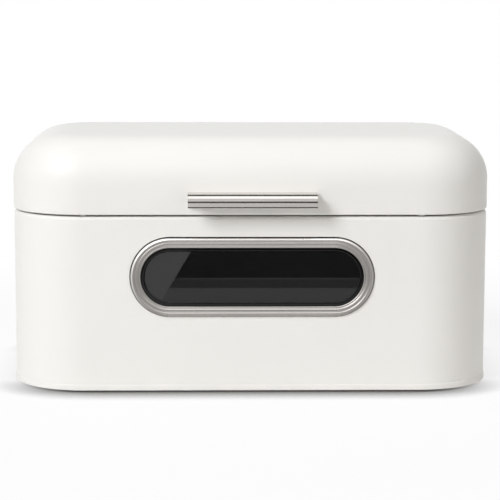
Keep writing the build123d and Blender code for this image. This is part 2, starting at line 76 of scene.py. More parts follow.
# Steps in each round, and the short flat that keeps a wide face flat beside a round
CORNER_STEPS = 28
SHOULDER_STEPS = 24
ROLL_STEPS = 8
WINDOW_STEPS = 40
RIB_STEPS = 10
CHANNEL_STEPS = 6
DOME_STEPS = 6
NUT_STEPS = 24
VENT_STEPS = 32
TURNED_STEPS = 32
STUD_STEPS = 20
FOOT_STEPS = 40
EASE = 1.5 * MM
SHARP_ANGLE = math.radians(32)
MERGE_DISTANCE = 0.015 * MM

# Window trim sizes; the bezel is flatter than in the source, its foot and ridges shares of its size
BEZEL_WIDTH = 9.2 * MM
BEZEL_PROUD = 2.4 * MM
BEZEL_FOOT = ((0, 0), (1, 0), (1, 0.16), (0.91, 0.16))
BEZEL_RIDGES = ((0.91, 0.30), (0.74, 1.0), (0.53, 0.70), (0.36, 0.86), (0.17, 0.52), (0.07, 0.60), (0, 0.42))
END_ROUND_SHARE = 0.4999
GASKET_REACH = 3 * MM
GASKET_THICKNESS = 1 * MM
WALL_OPENING_MARGIN = 1 * MM
CUT_DEPTH = 5 * MM
STUD_RADIUS = 1.25 * MM
STUD_TIP = 0.25 * MM
STUD_PAST_NUT = 0.6 * MM
STUD_SPREAD = 0.8
NUT_FLATS = 5 * MM
NUT_CHAMFER = 0.35 * MM

# Handle sizes, with its ribs as shares of its height
HANDLE_TOP_PLATE = 2.4 * MM
HANDLE_BACK = 4 * MM
HANDLE_LIP = 3.6 * MM
HANDLE_SETBACK = 2.4 * MM
HANDLE_FLUTE = 0.9 * MM
HANDLE_LEAN = 0.35 * MM
HANDLE_INNER_RADIUS = 1.5 * MM
HANDLE_SOFTENING = 0.14 * MM
SOFTENING_ANGLE = math.radians(40)
SOFTENING_SEGMENTS = 2
RIB_SHARES = (0.87, 0.50, 0.37, 0.10)

# Small fasteners
RIVET_RADIUS = 1.6 * MM
RIVET_HEAD_RADIUS = 3 * MM
RIVET_HEAD_HEIGHT = 1.2 * MM
RIVET_HEAD_RIM = 0.25 * MM
RIVET_TAIL_RADIUS = 2.6 * MM
RIVET_TAIL_HEIGHT = 0.8 * MM
RIVET_TAIL_SOFT = 0.2 * MM
RIVET_HALF_SPACING = 12 * MM
SCREW_RADIUS = 2 * MM
SCREW_TIP = 0.3 * MM
SCREW_HEAD_RADIUS = 3.6 * MM
SCREW_HEAD_HEIGHT = 2.4 * MM
SCREW_HEAD_RIM = 0.7 * MM
CROSS_LENGTH = 4 * MM
CROSS_WIDTH = 0.8 * MM
CROSS_CUTTER = 3 * MM
WASHER_RADIUS = 4.5 * MM
WASHER_THICKNESS = 0.8 * MM
WASHER_SOFT = 0.15 * MM

# Rubber buttons, feet and vents; a soft edge's middle lies in from its corner by a share of its size
SOFT_MIDDLE = 0.3
BUTTON_RADIUS = 3 * MM
BUTTON_BULB_RADIUS = 2.2 * MM
BUTTON_STEM_RADIUS = 1.5 * MM
BUTTON_SOFT = 0.35 * MM
FOOT_RADIUS = 8 * MM
FOOT_TAPER = 1 * MM
FOOT_SOFT = 0.8 * MM
FOOT_DISH = 0.5 * MM
FOOT_DISH_SHARES = (0.5, 0.6)
VENT_RADIUS = 2.5 * MM
VENT_PITCH = 13 * MM
VENT_DROP = 46 * MM
VENT_COLUMNS = 8
VENT_ROWS = 2

# Places read from the frame
body_low, body_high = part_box("body_wall")
lid_low, lid_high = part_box("lid_shell")
bezel_low, bezel_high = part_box("window_bezel")
handle_low, handle_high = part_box("handle_bar")
RIM_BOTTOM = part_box("base_pan")[0].z
WALL_FOOT = body_low.z
BODY_TOP = body_high.z
LID_EDGE = lid_low.z
LID_TOP = lid_high.z
BODY_FRONT = body_low.y
MID_Y = (body_low.y + body_high.y) / 2
LID_OVERHANG = body_low.x - lid_low.x
WINDOW_Z = (bezel_low.z + bezel_high.z) / 2
WINDOW_CENTRE = (0, BODY_FRONT, WINDOW_Z)
WINDOW_LENGTH = bezel_high.x - bezel_low.x - 2 * BEZEL_WIDTH
WINDOW_HEIGHT = bezel_high.z - bezel_low.z - 2 * BEZEL_WIDTH
HALF_STRAIGHT = (WINDOW_LENGTH - WINDOW_HEIGHT) / 2

# Finishes: each pair of tones is blended by a noise, and each roughness is its least and what noises add
COAT_TONES = ((0.845, 0.84, 0.81, 1), (0.875, 0.87, 0.842, 1))
COAT_ROUGHNESS = 0.36
COAT_CLOUD_ROUGHNESS = 0.10
COAT_SPECK_ROUGHNESS = 0.05
COAT_SPECK_RELIEF = 0.3
HANDLE_TONES = ((0.40, 0.38, 0.362, 1), (0.70, 0.67, 0.64, 1))
HANDLE_ROUGHNESS = 0.09
BEZEL_TONES = ((0.345, 0.328, 0.312, 1), (0.50, 0.476, 0.455, 1))
BEZEL_ROUGHNESS = 0.17
STREAK_ROUGHNESS = 0.10
STREAK_SHARE = 0.65
ZINC_TONES = ((0.50, 0.505, 0.51, 1), (0.70, 0.705, 0.70, 1))
ZINC_ROUGHNESS = (0.26, 0.22)
ZINC_LINE_RELIEF = 0.5
SEAL_TONES = ((0.002, 0.002, 0.002, 1), (0.005, 0.005, 0.0048, 1))
SEAL_ROUGHNESS = (0.06, 0.08)
PAD_TONES = ((0.022, 0.022, 0.022, 1), (0.060, 0.058, 0.055, 1))
PAD_ROUGHNESS = (0.6, 0.25)
BUTTON_TONES = ((0.30, 0.30, 0.29, 1), (0.42, 0.42, 0.41, 1))
BUTTON_ROUGHNESS = (0.38, 0.2)
PANE_TONES = ((0.006, 0.006, 0.0065, 1), (0.010, 0.010, 0.0105, 1))
PANE_ROUGHNESS = (0.005, 0.02)
PANE_ALPHA = (0.80, 0.03)

# How fine stretched patterns are along X, Y and Z, or across, along, round the ends of and into the bezel
BAR_STREAKS = (26, 3200, 3200)
BAR_SMEARS = (12, 600, 600)
BEZEL_STREAKS = (3600, 24, 0.9, 2400)
BEZEL_SMEARS = (700, 14, 0.6, 500)
DIE_LINES = (60, 900, 900)
WIPE_MARKS = (22, 22, 60)

# The bezel's upper side, where the painted shade and highlight are strongest, by height over distance from
# the middle line: 0 at the first, 1 from the second
PAINTED_LIGHT_SIDE = (-1.0, 0.3)

# Painted light round the bezel: a painted shade line on the wall outside it and painted shade along its foot,
# both mostly on its upper side, a painted highlight on its outer ridge that fades at the right end, and its
# dull round ends
SHADE_LINE_WIDTH = 0.5 * MM
PAINTED_SHADE_TONE = (0.02, 0.02, 0.02, 1)
FOOT_SHADE_START = 0.945 * BEZEL_WIDTH
FOOT_SHADE_EASE = 0.1 * MM
FOOT_SHADE_TONE = (0.012, 0.012, 0.012, 1)
FOOT_SHADE_BELOW = 0.2
HIGHLIGHT_PLACE = 0.84 * BEZEL_WIDTH
HIGHLIGHT_REACH = 0.85 * MM
HIGHLIGHT_TONE = (0.88, 0.86, 0.83, 1)
HIGHLIGHT_FADE = 0.75
DULL_TONE = (0.15, 0.143, 0.136, 1)
DULL_SHARE = 0.35
DULL_EASE = WINDOW_HEIGHT / 4
DULL_ROUGHNESS = 0.22

# Studio colours and rays that show the backdrop
PLAIN_WHITE = (1, 1, 1)
WARM = (1.0, 0.965, 0.93)
COOL = (1.0, 1.0, 1.012)
PAPER_TONE = (0.97, 0.955, 0.935, 1)
SHADOW_TONES = ((0.17, 0.165, 0.16, 1), (0.15, 0.15, 0.149, 1))
ROOM_STRENGTH = 0.03
SEEN_RAYS = ("Is Camera Ray", "Is Glossy Ray", "Is Transmission Ray")

# Floor: its reach, its own glow, where its shadow fades to plain white, and the painted contact shade that
# ambient occlusion lays near the box, full along its front and rear and weaker beside its ends
FLOOR_REACH = 9.0
FLOOR_LIFT = 0.85
FADE_START = 0.35
FADE_END = 0.75
CONTACT_REACH = 35 * MM
CONTACT_SAMPLES = 8
CONTACT_EASE = 50 * MM
CONTACT_AT_ENDS = 0.12

# Camera at the photograph's viewing angle
CAMERA_X = -36 * MM
CAMERA_AHEAD = 1.5742
CAMERA_Z = RIM_BOTTOM + 0.3514
CAMERA_DIP = 0.14401
CAMERA_ROLL = -0.0024
CAMERA_TURN = -0.02125
CAMERA_LENS = 133.2
CAMERA_SENSOR = 36

# Cards that only reflections see: places, levels, and the angle where the glare's round side ends
CARD_REACH = 3.0
TABLE_EDGE = BODY_FRONT - 0.547
EDGE_BAND = 10.6 * MM
EDGE_BAND_LEVEL = 0.36
EDGE_LINE = EDGE_BAND + 1.3 * MM
EDGE_LINE_LEVEL = 0.75
DARK_ROOM_TOP = 0.15
DARK_ROOM_LEVEL = 0.05
FRONT_WALL_TOP = 0.55
FRONT_WALL_LEVEL = 1.0
CEILING_END = (-0.40, 0.787)
OVERHEAD_END = (0.6, 1.7)
CEILING_LEVEL = 1.9
SIDE_WALL_X = 0.9
SIDE_WALL_REAR = OVERHEAD_END[0]
SIDE_WALL_TOP = 0.9
SIDE_WALL_LEVEL = 0.4
LEFT_CARD_AHEAD = 0.30
LEFT_CARD_FOOT = -103 * MM
LEFT_CARD_SLANT = 0.593
LEFT_CARD_LEVEL = 1.35
GLARE_MARGIN = 0.8 * MM
GLARE_END = 248

# Soft lamps, all aimed at the box's middle
LAMPS = {
    "key_lamp": {"place": (-2.5, -2.55, 2.75), "width": 1.8, "height": 1.8, "power": 142, "tint": COOL},
    "right_lamp": {"place": (3.9, -1.7, 1.4), "width": 1.9, "height": 1.9, "power": 32, "tint": WARM},
    "fill_lamp": {"place": (1.8, -3.9, 0.6), "width": 1.8, "height": 1.8, "power": 14, "tint": WARM},
    "left_lamp": {"place": (-3.4, -2.6, 0.5), "width": 1.8, "height": 1.8, "power": 12},
    "top_lamp": {"place": (0.25, 0.25, 1.85), "width": 1.8, "height": 1.4, "power": 11.5},
    "rear_lamp": {"place": (0.3, 2.6, 0.12), "width": 1.8, "height": 0.16, "power": 26, "mirrored": False},
}

# Sockets of a Mix node that blends colours
MIX_SHARE, MIX_FIRST, MIX_SECOND, MIX_RESULT = 0, 6, 7, 2


class Wire:
    """A socket that takes part in Python arithmetic: each operator adds a Math node to its graph."""

    def __init__(self, graph, socket):
        self.graph = graph
        self.socket = socket

    def __add__(self, other):
        return self.graph.maths("ADD", self, other)

    def __sub__(self, other):
        return self.graph.maths("SUBTRACT", self, other)

    def __rsub__(self, other):
        return self.graph.maths("SUBTRACT", other, self)

    def __mul__(self, other):
        return self.graph.maths("MULTIPLY", self, other)

    def __truediv__(self, other):
        return self.graph.maths("DIVIDE", self, other)

    def __rtruediv__(self, other):
        return self.graph.maths("DIVIDE", other, self)

    def __pow__(self, other):
        return self.graph.maths("POWER", self, other)

    def __abs__(self):
        return self.graph.maths("ABSOLUTE", self, 0)

    __radd__ = __add__
    __rmul__ = __mul__


class Graph:
    """A node tree that is filled by one method for every kind of node."""

    def __init__(self, tree):
        self.tree = tree

    def node(self, kind, settings=None, inputs=None, output=0):
        made = self.tree.nodes.new(kind)
        for key, value in (settings or {}).items():
            setattr(made, key, value)
        for key, value in (inputs or {}).items():
            if isinstance(value, Wire):
                self.tree.links.new(value.socket, made.inputs[key])
            else:
                made.inputs[key].default_value = value
        return Wire(self, made.outputs[output]) if len(made.outputs) else made

    def maths(self, operation, first, second):
        return self.node("ShaderNodeMath", {"operation": operation}, {0: first, 1: second})

    def blend(self, share, first, second):
        """A colour between two others."""
        inputs = {MIX_SHARE: share, MIX_FIRST: first, MIX_SECOND: second}
        return self.node("ShaderNodeMix", {"data_type": "RGBA"}, inputs, output=MIX_RESULT)

    def place(self):
        """Object coordinates, which are the shared frame's metres on every piece."""
        return self.node("ShaderNodeTexCoord", output="Object")


class Finish(Graph):
    """A material with one Principled shader whose sockets are set or linked by name."""

    def __init__(self, name, **sockets):
        self.material = bpy.data.materials.new(name)
        self.material.use_nodes = True
        super().__init__(self.material.node_tree)
        self.shader = self.tree.nodes["Principled BSDF"]
        for key, value in sockets.items():
            self.shader.inputs[key.replace("_", " ")].default_value = value

    def feed(self, socket, wire):
        self.tree.links.new(wire.socket, self.shader.inputs[socket])

    def vary(self, socket, mask, least, added_by_mask):
        self.feed(socket, least + added_by_mask * mask)

    def stretched(self, vector, scale):
        return self.node("ShaderNodeMapping", inputs={"Vector": vector, "Scale": scale})

    def noise(self, vector, scale, detail=2.0, roughness=0.5):
        inputs = {"Vector": vector, "Scale": scale, "Detail": detail, "Roughness": roughness}
        return self.node("ShaderNodeTexNoise", inputs=inputs, output="Fac")

    def ramp(self, value, start, end):
        """Rises from 0 at the start to 1 at the end."""
        return self.node("ShaderNodeMapRange", inputs={"Value": value, "From Min": start, "From Max": end})

    def relief(self, height, strength, depth):
        inputs = {"Strength": strength, "Distance": depth, "Height": height}
        self.feed("Normal", self.node("ShaderNodeBump", inputs=inputs))


class WindowPlace:
    """Places round the window as wires, from the way along it to the distance from its middle line."""

    def __init__(self, finish, place):
        self.finish = finish
        parts = finish.node("ShaderNodeSeparateXYZ", inputs={"Vector": place}).socket.node
        self.x, self.y, z = (Wire(finish, parts.outputs[axis]) for axis in "XYZ")
        self.beyond = finish.maths("MAXIMUM", abs(self.x) - HALF_STRAIGHT, 0)
        height = z - WINDOW_Z
        self.ring = (self.beyond * self.beyond + height * height) ** 0.5
        self.turn = finish.maths("ARCTAN2", height, self.beyond)
        # Mask of the side that gets the painted shade and highlight: 1 from just above the middle line,
        # falling to 0 at the bottom
        self.upper = finish.ramp(height / self.ring, *PAINTED_LIGHT_SIDE)

    def lines(self, across, along, round_ends, inwards):
        """A place for a noise whose lines run round the window."""
        inputs = {0: self.ring * across, 1: self.x * along + self.turn * round_ends, 2: self.y * inwards}
        return self.finish.node("ShaderNodeCombineXYZ", inputs=inputs)


def powder_coat():
    """Satin white powder coat: faint orange peel, uneven tone and sheen, and a painted shade line round the
    bezel on its upper side.
    """
    coat = Finish("white_powder_coat", Specular_IOR_Level=0.3)
    place = coat.place()
    cloud = coat.noise(place, scale=9, detail=3)
    peel = coat.noise(place, scale=1100, detail=1)
    speck = coat.noise(place, scale=4200, detail=1)
    window = WindowPlace(coat, place)
    outline = WINDOW_HEIGHT / 2 + BEZEL_WIDTH
    # Painted shade: a dark line on the wall just outside the bezel, on its upper side only
    shade_line = coat.ramp(window.ring, outline + SHADE_LINE_WIDTH, outline + SHADE_LINE_WIDTH / 2)
    outside = coat.ramp(window.y, BODY_FRONT + SHEET, BODY_FRONT + SHEET / 2)
    colour = coat.blend(cloud, *COAT_TONES)
    coat.feed("Base Color", coat.blend(shade_line * outside * window.upper, colour, PAINTED_SHADE_TONE))
    coat.feed("Roughness", COAT_ROUGHNESS + COAT_CLOUD_ROUGHNESS * cloud + COAT_SPECK_ROUGHNESS * speck)
    coat.relief(peel + COAT_SPECK_RELIEF * speck, strength=0.10, depth=0.03 * MM)
    return coat.material


def brushed_steel(name, tones, roughness, along_window):
    """Brushed stainless: fine streaks along the bar, or round the window along the bezel."""
    steel = Finish(name, Metallic=1.0)
    place = steel.place()
    if along_window:
        window = WindowPlace(steel, place)
        streak_place, smear_place = window.lines(*BEZEL_STREAKS), window.lines(*BEZEL_SMEARS)
    else:
        streak_place, smear_place = steel.stretched(place, BAR_STREAKS), steel.stretched(place, BAR_SMEARS)
    streak = steel.noise(streak_place, scale=1, detail=2, roughness=0.6)
    smear = steel.noise(smear_place, scale=1, detail=2)
    tone = STREAK_SHARE * streak + (1 - STREAK_SHARE) * smear
    colour = steel.blend(tone, *tones)
    rough = roughness + STREAK_ROUGHNESS * tone
    if along_window:
        ends = steel.ramp(window.beyond, 0.0, DULL_EASE)
        # On the bezel the ends are duller, and a painted highlight and painted shade are added to the colour
        colour = bezel_painted_light(steel, window, steel.blend(DULL_SHARE * ends, colour, DULL_TONE))
        rough = rough + DULL_ROUGHNESS * ends
    steel.feed("Base Color", colour)
    steel.feed("Roughness", rough)
    steel.relief(streak, strength=0.08, depth=0.02 * MM)
    return steel.material


def bezel_painted_light(steel, window, colour):
    """The bezel's colour with a painted highlight on its outer ridge, fading towards the right end, and
    painted shade along its foot.
    """
    inner = WINDOW_HEIGHT / 2
    # Painted highlight: a bright band along the outer ridge on its upper side, fading towards the right end
    from_ridge = abs(window.ring - (inner + HIGHLIGHT_PLACE))
    ridge_highlight = steel.ramp(from_ridge, HIGHLIGHT_REACH, HIGHLIGHT_REACH / 2) * window.upper
    right_end_share = steel.ramp(window.x, HALF_STRAIGHT, HALF_STRAIGHT + inner)
    colour = steel.blend(ridge_highlight * (1 - HIGHLIGHT_FADE * right_end_share), colour, HIGHLIGHT_TONE)
    # Painted shade along the bezel's foot: full on its upper side, a fifth as strong below
    foot = inner + FOOT_SHADE_START
    foot_shade = steel.ramp(window.ring, foot, foot + FOOT_SHADE_EASE)
    return steel.blend(foot_shade * (FOOT_SHADE_BELOW + (1 - FOOT_SHADE_BELOW) * window.upper), colour, FOOT_SHADE_TONE)


def zinc_plate():
    """Bright zinc on pressed steel: a mottled grey with soft die lines."""
    zinc = Finish("zinc_plate", Metallic=1.0)
    place = zinc.place()
    mottle = zinc.noise(place, scale=160, detail=4, roughness=0.65)
    lines = zinc.noise(zinc.stretched(place, DIE_LINES), scale=1)
    zinc.feed("Base Color", zinc.blend(mottle, *ZINC_TONES))
    zinc.vary("Roughness", mottle, *ZINC_ROUGHNESS)
    zinc.relief(mottle + ZINC_LINE_RELIEF * lines, strength=0.10, depth=0.05 * MM)
    return zinc.material


def seal_rubber():
    """Glossy black rubber with a fine moulded grain."""
    rubber = Finish("black_seal_rubber", Specular_IOR_Level=0.3)
    place = rubber.place()
    grain = rubber.noise(place, scale=2600, detail=2)
    bloom = rubber.noise(place, scale=60, detail=3)
    rubber.feed("Base Color", rubber.blend(bloom, *SEAL_TONES))
    rubber.vary("Roughness", bloom, *SEAL_ROUGHNESS)
    rubber.relief(grain, strength=0.05, depth=0.01 * MM)
    return rubber.material


def foot_rubber():
    """Dark grey rubber, dusty where it has stood."""
    rubber = Finish("foot_pad_rubber")
    place = rubber.place()
    dust = rubber.noise(place, scale=240, detail=5, roughness=0.7)
    rubber.feed("Base Color", rubber.blend(dust, *PAD_TONES))
    rubber.vary("Roughness", dust, *PAD_ROUGHNESS)
    rubber.relief(rubber.noise(place, scale=1900), strength=0.2, depth=0.06 * MM)
    return rubber.material


def buffer_rubber():
    """Greyish silicone buttons with a soft sheen."""
    rubber = Finish("buffer_silicone")
    place = rubber.place()
    haze = rubber.noise(place, scale=420, detail=3)
    rubber.feed("Base Color", rubber.blend(haze, *BUTTON_TONES))
    rubber.vary("Roughness", haze, *BUTTON_ROUGHNESS)
    rubber.relief(haze, strength=0.1, depth=0.05 * MM)
    return rubber.material


def smoked_acrylic():
    """Polished smoked acrylic that lets a little of the inside show, with faint wiping marks."""
    pane = Finish("smoked_acrylic", IOR=1.49)
    wipe = pane.noise(pane.stretched(pane.place(), WIPE_MARKS), scale=1, detail=4, roughness=0.6)
    pane.feed("Base Color", pane.blend(wipe, *PANE_TONES))
    pane.vary("Roughness", wipe, *PANE_ROUGHNESS)
    pane.vary("Alpha", wipe, *PANE_ALPHA)
    return pane.material


WHITE = powder_coat()
HANDLE_STEEL = brushed_steel("brushed_handle_steel", HANDLE_TONES, HANDLE_ROUGHNESS, along_window=False)
BEZEL_STEEL = brushed_steel("brushed_bezel_steel", BEZEL_TONES, BEZEL_ROUGHNESS, along_window=True)
ZINC = zinc_plate()
SEAL = seal_rubber()
PAD = foot_rubber()
BUTTON = buffer_rubber()
PANE = smoked_acrylic()


def added(name, data):
    made = bpy.data.objects.new(name, data)
    bpy.context.scene.collection.objects.link(made)
    return made


def shaded(piece):
    piece.data.shade_smooth()
    piece.data.set_sharp_from_angle(angle=SHARP_ANGLE)
    return piece


def closed_mesh(name, bm):
    """A finished mesh object from a closed bmesh, with its faces outward and its hard edges sharp."""
    if bm.calc_volume(signed=True) < 0:
        bmesh.ops.reverse_faces(bm, faces=bm.faces)
    mesh = bpy.data.meshes.new(name)
    bm.to_mesh(mesh)
    bm.free()
    return shaded(added(name, mesh))


def plain_mesh(piece):
    """The mesh of an object with its modifiers applied; the object is used up."""
    bpy.context.view_layer.update()
    depsgraph = bpy.context.evaluated_depsgraph_get()
    mesh = bpy.data.meshes.new_from_object(piece.evaluated_get(depsgraph), depsgraph=depsgraph)
    bpy.data.objects.remove(piece)
    return mesh


def bridge(bm, low, high):
    """Faces between two rings of points; a ring of one point is a tip."""
    steps = max(len(low), len(high))
    for i in range(steps):
        j = (i + 1) % steps
        corners = [low[i % len(low)], low[j % len(low)], high[j % len(high)], high[i % len(high)]]
        bm.faces.new(list(dict.fromkeys(corners)))


def bend(centre, radius, start, end, steps):
    """Points of an arc in a section, between two angles in degrees."""
    angles = [math.radians(start + (end - start) * i / steps) for i in range(steps + 1)]
    return [(centre[0] + radius * math.cos(a), centre[1] + radius * math.sin(a)) for a in angles]


def plan_ring(outset, inset, z):
    """The box's plan at one height: a rounded rectangle, grown by outset and drawn in by inset."""
    half_x = (body_high.x - body_low.x) / 2 + outset - inset
    half_y = (body_high.y - body_low.y) / 2 + outset - inset
    radius = CORNER_RADIUS + outset - inset
    points = []
    for quarter, (side_x, side_y) in enumerate(((1, -1), (1, 1), (-1, 1), (-1, -1))):
        centre = (side_x * (half_x - radius), MID_Y + side_y * (half_y - radius))
        first, last = QUARTER * (quarter - 1), QUARTER * quarter
        arc = [Vector((x, y, z)) for x, y in bend(centre, radius, first, last, CORNER_STEPS)]
        before = Vector((math.sin(math.radians(first)), -math.cos(math.radians(first)), 0))
        after = Vector((-math.sin(math.radians(last)), math.cos(math.radians(last)), 0))
        points += [arc[0] + before * EASE] + arc + [arc[-1] + after * EASE]
    return points


def ring_shell(name, outset, section, looped):
    """A shell with one plan ring for each (inset, height) of its section; an open section gets flat ends."""
    bm = bmesh.new()
    rings = [[bm.verts.new(p) for p in plan_ring(outset, inset, z)] for inset, z in section]
    for low, high in zip(rings, rings[1:] + rings[:1] if looped else rings[1:]):
        bridge(bm, low, high)
    if not looped:
        bm.faces.new(rings[0][::-1])
        bm.faces.new(rings[-1])
    return closed_mesh(name, bm)


def lid_section():
    """Section of the lid from the middle of its ceiling, round the hem and up to the middle of its top."""
    top, edge = LID_TOP, LID_EDGE
    shoulder = (LID_TOP_RADIUS, top - LID_TOP_RADIUS)
    hem = (HEM_ROLL, edge + HEM_ROLL)
    hem_end = RIM_FLANGE + LID_OVERHANG
    section = [(LID_TOP_RADIUS + EASE, top - SHEET)]
    section += bend(shoulder, LID_TOP_RADIUS - SHEET, UP, BACK, SHOULDER_STEPS)
    section += [(SHEET, shoulder[1] - EASE), (SHEET, hem[1] + EASE)]
    section += bend(hem, HEM_ROLL - SHEET, BACK, DOWN, ROLL_STEPS)
    section += [(hem[0] + EASE, edge + SHEET), (hem_end, edge + SHEET)]
    section += [(hem_end, edge), (hem[0] + EASE, edge)]
    section += bend(hem, HEM_ROLL, DOWN, BACK, ROLL_STEPS)
    section += [(0, hem[1] + EASE), (0, shoulder[1] - EASE)]
    section += bend(shoulder, LID_TOP_RADIUS, BACK, UP, SHOULDER_STEPS)
    return section + [(LID_TOP_RADIUS + EASE, top)]


def wall_section():
    """Section of the body wall: up its outside, over the rolled rim, round the lip and down its inside."""
    top = BODY_TOP
    roll = (RIM_ROLL, top - RIM_ROLL)
    fold = (RIM_FLANGE - RIM_FOLD, top - RIM_FOLD)
    lip_foot = top - RIM_LIP_DROP
    section = [(0, WALL_FOOT), (0, roll[1] - EASE)]
    section += bend(roll, RIM_ROLL, BACK, UP, ROLL_STEPS)
    section += [(roll[0] + EASE, top), (fold[0] - EASE, top)]
    section += bend(fold, RIM_FOLD, UP, AHEAD, ROLL_STEPS)
    section += [(RIM_FLANGE, fold[1] - EASE), (RIM_FLANGE, lip_foot), (RIM_FLANGE - SHEET, lip_foot)]
    section += [(RIM_FLANGE - SHEET, fold[1] - EASE)]
    section += bend(fold, RIM_FOLD - SHEET, AHEAD, UP, ROLL_STEPS)
    section += [(roll[0] + EASE, top - SHEET)]
    section += bend(roll, RIM_ROLL - SHEET, UP, BACK, ROLL_STEPS)
    return section + [(SHEET, roll[1] - EASE), (SHEET, WALL_FOOT)]


def pan_section():
    """Section of the base pan from under its middle, round the seamed rim and back over its floor."""
    outer, inner = -(SHEET + SEAT_GAP), SHEET + SEAT_GAP
    low, high = RIM_BOTTOM, RIM_BOTTOM + SEAM_HEIGHT
    floor = RIM_BOTTOM + PANEL_LIFT
    under = floor - SHEET
    under_edge = PLATEAU_INSET + SHEET
    step = PRESS_ROUND
    section = [(under_edge + step, under + PLATEAU_RISE), (under_edge, under + PLATEAU_RISE)]
    section += [(under_edge - step, under), (inner + SHEET, under), (inner + SHEET, low)]
    section += bend((outer + SEAM_ROUND, low + SEAM_ROUND), SEAM_ROUND, DOWN, BACK, ROLL_STEPS)
    slope = bend((0, 0), 1, BACK, UP, ROLL_STEPS)
    section += [(-SEAT_GAP + SHEET * across, high - SEAM_SLOPE * (1 - up)) for across, up in slope]
    section += [(-SEAT_GAP, WALL_FOOT), (inner, WALL_FOOT)]
    section += bend((inner + step, floor - step), step, BACK, UP, ROLL_STEPS)
    section += bend((PLATEAU_INSET - step, floor + step), step, DOWN, DOWN + PRESS_TURN, ROLL_STEPS)
    plateau = floor + PLATEAU_RISE
    section += bend((PLATEAU_INSET + step, plateau - step), step, UP + PRESS_TURN, UP, ROLL_STEPS)
    return section + [(PLATEAU_INSET + step + EASE, plateau)]


def node_tree(name, sizes):
    """An empty Geometry Nodes tree: its graph and the wires of its named inputs."""
    tree = bpy.data.node_groups.new(name, "GeometryNodeTree")
    tree.interface.new_socket("Geometry", in_out="OUTPUT", socket_type="NodeSocketGeometry")
    tree.interface.new_socket("Geometry", in_out="INPUT", socket_type="NodeSocketGeometry")
    for label, kind in sizes.items():
        tree.interface.new_socket(label, in_out="INPUT", socket_type="NodeSocket" + kind)
    graph = Graph(tree)
    start = tree.nodes.new("NodeGroupInput")
    return graph, {s.name: Wire(graph, s) for s in start.outputs if s.name}


def close_tree(graph, shape, material):
    """Ends a tree in real faces with their material."""
    real = graph.node("GeometryNodeRealizeInstances", inputs={0: shape})
    coated = graph.node("GeometryNodeSetMaterial", inputs={"Geometry": real, "Material": material})
    graph.node("NodeGroupOutput", inputs={0: coated})
    return graph.tree


def grown(name, base, tree, **sizes):
    """The plain mesh that a Geometry Nodes tree makes from an object, which is used up."""
    modifier = base.modifiers.new("grow", "NODES")
    modifier.node_group = tree
    for item in tree.interface.items_tree:
        if item.in_out == "INPUT" and item.name in sizes:
            modifier[item.identifier] = sizes[item.name]
    mesh = plain_mesh(base)
    mesh.name = name
    return shaded(added(name, mesh))


def window_curve(graph, length, height, steps):
    """The window's outline, a rectangle whose ends are rounded until the rounds all but meet."""
    sizes = {"Width": length, "Height": height}
    shape = graph.node("GeometryNodeCurvePrimitiveQuadrilateral", inputs=sizes)
    inputs = {"Curve": shape, "Count": steps, "Radius": height * END_ROUND_SHARE, "Limit Radius": True}
    return graph.node("GeometryNodeFilletCurve", {"mode": "POLY"}, inputs)


def swept(graph, path, section, capped):
    inputs = {"Curve": path, "Profile Curve": section, "Fill Caps": capped}
    return graph.node("GeometryNodeCurveToMesh", inputs=inputs)


def merged(graph, shape):
    inputs = {"Geometry": shape, "Distance": MERGE_DISTANCE}
    return graph.node("GeometryNodeMergeByDistance", inputs=inputs)


def stood(graph, shape, centre):
    """A flat shape, stood up to face the front and moved to its centre."""
    inputs = {"Geometry": shape, "Translation": centre, "Rotation": STANDING}
    return graph.node("GeometryNodeTransform", inputs=inputs)


def window_trim_tree():
    """Sweeps a section, given as out from the window and back from the wall, round the window."""
    kinds = {"Length": "Float", "Height": "Float", "Steps": "Int", "Centre": "Vector", "Material": "Material"}
    graph, at = node_tree("window_trim", kinds)
    path = window_curve(graph, at["Length"], at["Height"], at["Steps"])
    ring = merged(graph, swept(graph, path, at["Geometry"], capped=False))
    return close_tree(graph, stood(graph, ring, at["Centre"]), at["Material"])


def pierced_wall_tree():
    """Cuts the window and a grid of vents through the body wall."""
    kinds = {"Window Length": "Float", "Window Height": "Float", "Window Steps": "Int",
             "Window Centre": "Vector", "Vent Radius": "Float", "Vent Pitch": "Float", "Vent Columns": "Int",
             "Vent Rows": "Int", "Vent Centre": "Vector", "Cut Depth": "Float", "Material": "Material"}
    graph, at = node_tree("pierced_wall", kinds)
    outline = window_curve(graph, at["Window Length"], at["Window Height"], at["Window Steps"])
    depth, pitch = at["Cut Depth"], at["Vent Pitch"]
    back, reach = (graph.node("ShaderNodeCombineXYZ", inputs={2: depth * side}) for side in (-1, 1))
    line = graph.node("GeometryNodeCurvePrimitiveLine", inputs={"Start": back, "End": reach})
    plug = merged(graph, swept(graph, line, outline, capped=True))
    rows = {"Size X": pitch * (at["Vent Columns"] - 1), "Vertices X": at["Vent Columns"],
            "Size Y": pitch * (at["Vent Rows"] - 1), "Vertices Y": at["Vent Rows"]}
    grid = graph.node("GeometryNodeMeshGrid", inputs=rows)
    bore = {"Vertices": VENT_STEPS, "Radius": at["Vent Radius"], "Depth": depth * 2}
    drill = graph.node("GeometryNodeMeshCylinder", inputs=bore)
    vents = graph.node("GeometryNodeInstanceOnPoints", inputs={"Points": grid, "Instance": drill})
    vents = graph.node("GeometryNodeRealizeInstances", inputs={0: vents})
    cutters = graph.node("GeometryNodeJoinGeometry")
    for cutter in (stood(graph, plug, at["Window Centre"]), stood(graph, vents, at["Vent Centre"])):
        graph.tree.links.new(cutter.socket, cutters.socket.node.inputs[0])
    wall = graph.node("GeometryNodeMeshBoolean", {"operation": "DIFFERENCE"},
                      {"Mesh 1": at["Geometry"], "Mesh 2": cutters})
    return close_tree(graph, wall, at["Material"])


